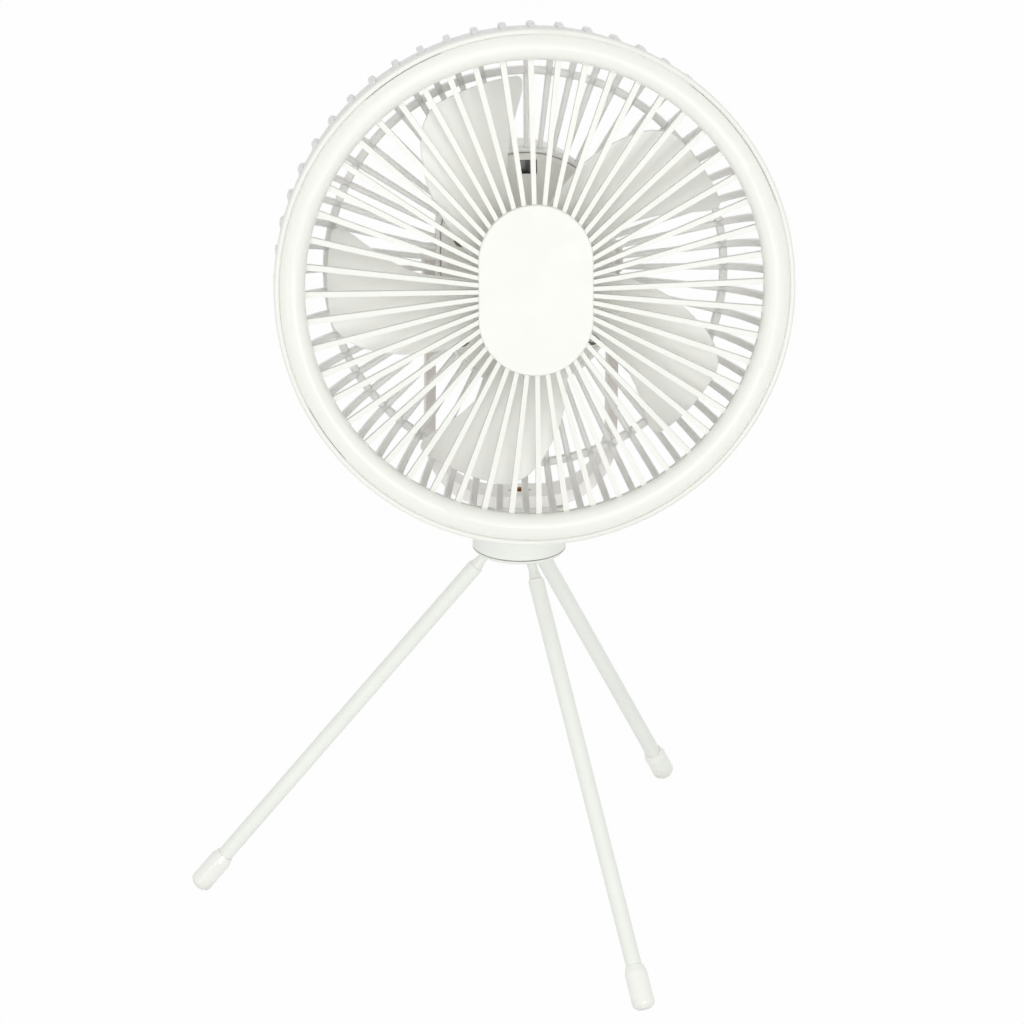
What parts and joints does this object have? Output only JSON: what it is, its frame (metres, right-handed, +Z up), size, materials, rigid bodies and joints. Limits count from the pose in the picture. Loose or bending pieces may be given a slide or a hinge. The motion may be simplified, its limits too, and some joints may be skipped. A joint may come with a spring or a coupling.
{
  "type": "portable camping fan",
  "caption": "Round white fan with a ring light round its ribbed grille, tilting in a U bracket on a small folding tripod with capped tube legs.",
  "frame": {"origin": "on the floor, on the tripod's stem axis, at the centre of the circle on which the three feet stand", "axes": "+Z up along the tripod's stem, the fan blows towards -Y, +X to the right of someone who looks at its front"},
  "size_m": [0.2392, 0.2442, 0.3925],
  "materials": {
    "ring_plastic": "fine moulded satin",
    "diffuser_plastic": "milky satin",
    "guard_plastic": "moulded satin",
    "impeller_plastic": "moulded satin",
    "housing_plastic": "moulded satin",
    "button_plastic": "gloss",
    "window_plastic": "gloss",
    "lens_plastic": "clear gloss",
    "black_plastic": "matte",
    "tube_paint": "satin powder coat",
    "cap_plastic": "gloss",
    "steel": "zinc plated",
    "brass": "turned",
    "black_steel": "black oxide",
    "magnet": "sintered",
    "coil_copper": "enamelled wire",
    "cell_sleeve": "shrink sleeve",
    "board_green": "solder mask",
    "board_white": "solder mask",
    "led_phosphor": "phosphor"
  },
  "bodies": {
    "tripod": {"tripod_hub": "ring_plastic", "leg_pins": "steel", "swivel_washer": "steel"},
    "leg_left": {"leg_left_tube": "tube_paint", "leg_left_knuckle": "tube_paint", "leg_left_foot": "cap_plastic"},
    "leg_front": {"leg_front_tube": "tube_paint", "leg_front_knuckle": "tube_paint", "leg_front_foot": "cap_plastic"},
    "leg_rear": {"leg_rear_tube": "tube_paint", "leg_rear_knuckle": "tube_paint", "leg_rear_foot": "cap_plastic"},
    "yoke": {"swivel_cup": "ring_plastic", "tripod_screw": "steel", "swivel_nut": "steel", "bracket": "guard_plastic", "bracket_insert": "brass", "insert_screws": "black_steel"},
    "head": {"bezel_ring": "ring_plastic", "light_diffuser": "diffuser_plastic", "led_board": "board_white", "led_chips": "led_phosphor", "front_grille": "ring_plastic", "rear_guard": "guard_plastic", "front_cover": "housing_plastic", "ir_window": "window_plastic", "ir_receiver": "black_plastic", "cover_screws": "black_steel", "housing_shell": "housing_plastic", "back_cover": "housing_plastic", "back_screws": "black_steel", "pivot_screws": "steel", "pivot_washers": "black_plastic", "pivot_inserts": "brass", "motor_case": "steel", "motor_stator": "coil_copper", "motor_bearings": "steel", "battery_cells": "cell_sleeve", "battery_holder": "black_plastic", "main_board": "board_green", "board_parts": "black_plastic", "button_switches": "black_plastic", "usb_socket": "steel", "indicator_lenses": "lens_plastic"},
    "power_key": {"power_button": "button_plastic"},
    "light_key": {"light_button": "button_plastic"},
    "rotor": {"impeller": "impeller_plastic", "motor_shaft": "steel", "rotor_magnet": "magnet", "impeller_nut": "steel"}
  },
  "joints": [
    {"name": "leg_left_fold", "type": "hinge", "parent": "tripod", "child": "leg_left", "pos_m": [-0.0072, 0.00013, 0.15765], "axis": [-0.0175, -0.9998, 0], "range_deg": [0, 39]},
    {"name": "leg_front_fold", "type": "hinge", "parent": "tripod", "child": "leg_front", "pos_m": [0.00234, -0.00681, 0.15765], "axis": [0.9455, 0.3256, 0], "range_deg": [0, 39]},
    {"name": "leg_rear_fold", "type": "hinge", "parent": "tripod", "child": "leg_rear", "pos_m": [0.00392, 0.00604, 0.15765], "axis": [-0.8387, 0.5446, 0], "range_deg": [0, 39]},
    {"name": "swivel", "type": "hinge", "parent": "tripod", "child": "yoke", "pos_m": [0, 0, 0.17], "axis": [0, 0, 1], "continuous": true},
    {"name": "head_tilt", "type": "hinge", "parent": "yoke", "child": "head", "pos_m": [0, 0, 0.27785], "axis": [-1, 0, 0], "range_deg": [-15, 170]},
    {"name": "power_press", "type": "slide", "parent": "head", "child": "power_key", "axis": [0, -0.9848, 0.1736], "range_m": [0, 0.0006], "stiffness_N_per_m": 1500, "springref_m": -0.0004},
    {"name": "light_press", "type": "slide", "parent": "head", "child": "light_key", "axis": [0, -0.9848, 0.1736], "range_m": [0, 0.0006], "stiffness_N_per_m": 1500, "springref_m": -0.0004},
    {"name": "impeller_spin", "type": "hinge", "parent": "head", "child": "rotor", "pos_m": [0, 0, 0.27785], "axis": [0, -0.9848, 0.1736], "continuous": true}
  ]
}
